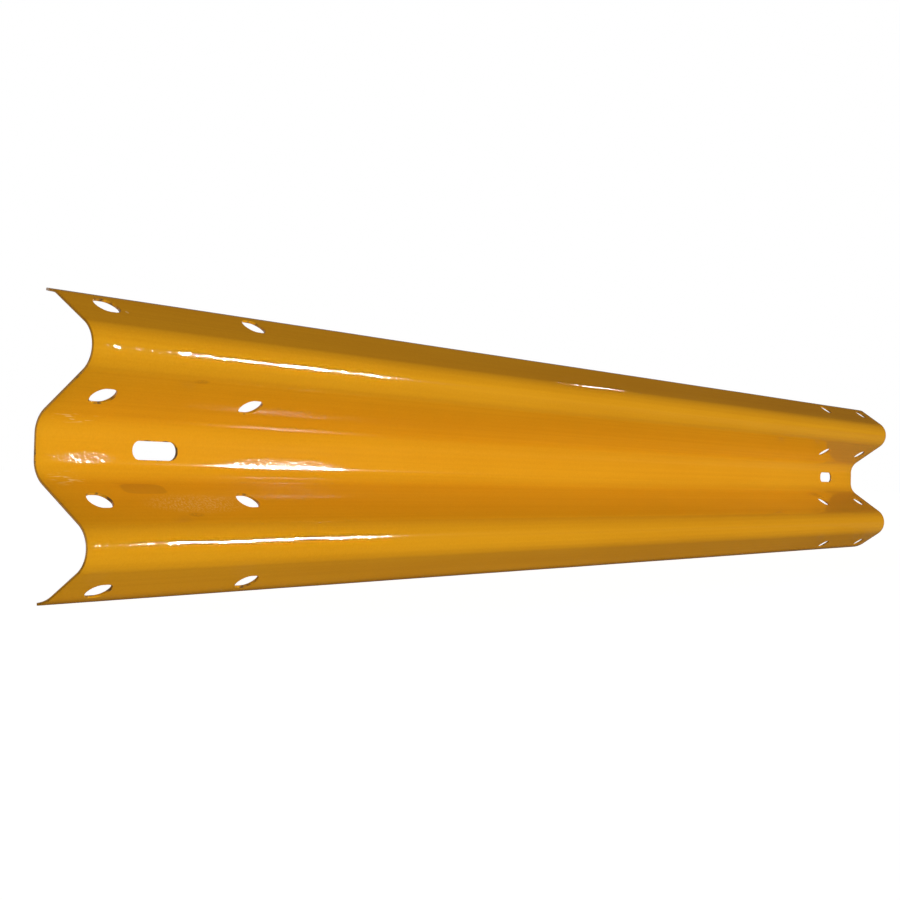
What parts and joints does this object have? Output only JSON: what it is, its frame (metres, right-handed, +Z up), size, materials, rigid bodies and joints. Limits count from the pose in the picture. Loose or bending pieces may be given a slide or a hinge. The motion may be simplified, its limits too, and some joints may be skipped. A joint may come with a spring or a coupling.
{
  "type": "highway guardrail section",
  "caption": "Two-wave roll-formed steel guardrail rail with lipped edges, splice slots punched square to its sloping flanks and a post bolt slot near each end.",
  "frame": {"origin": "on the back face of the middle trough, halfway along the rail", "axes": "+X along the rail, to the right as seen by the traffic; +Y back towards the post; +Z up"},
  "size_m": [2.32, 0.0809, 0.31],
  "materials": {
    "rail_paint": "glossy orange-yellow paint over galvanised steel"
  },
  "bodies": {
    "root": {"w_beam_rail": "rail_paint"}
  },
  "joints": []
}
